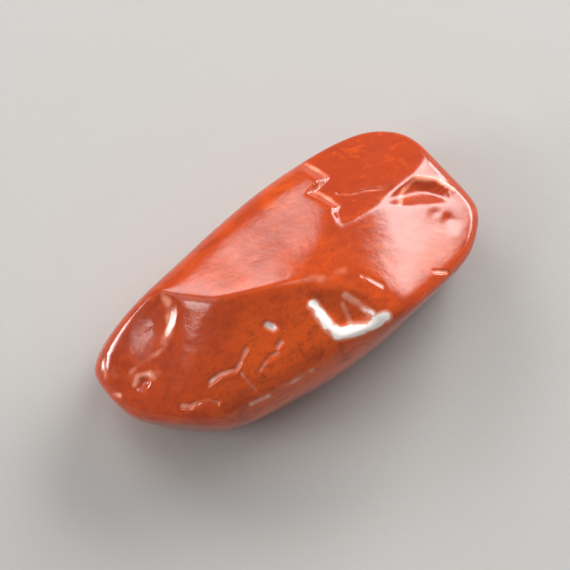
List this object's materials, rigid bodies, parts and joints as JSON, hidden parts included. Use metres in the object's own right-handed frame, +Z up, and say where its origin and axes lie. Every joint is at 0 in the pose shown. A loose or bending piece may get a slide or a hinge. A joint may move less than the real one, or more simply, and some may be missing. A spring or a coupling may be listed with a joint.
{
  "type": "tumbled red jasper stone",
  "caption": "Long polished brick-red stone with worn facets, rounded edges and dished chip scars. It rests on a flat face and serves as decoration or bowl filling.",
  "frame": {"origin": "middle of the stone's outline on its flat resting face", "axes": "+X along the stone's longest way toward its blunt nose, +Z up from the resting face toward the face with the front dent"},
  "size_m": [0.0308, 0.0156, 0.0123],
  "materials": {
    "polished_jasper": "tumble-polished to a wet gloss, duller in the chip scars"
  },
  "bodies": {
    "root": {"jasper_stone": "polished_jasper"}
  },
  "joints": []
}
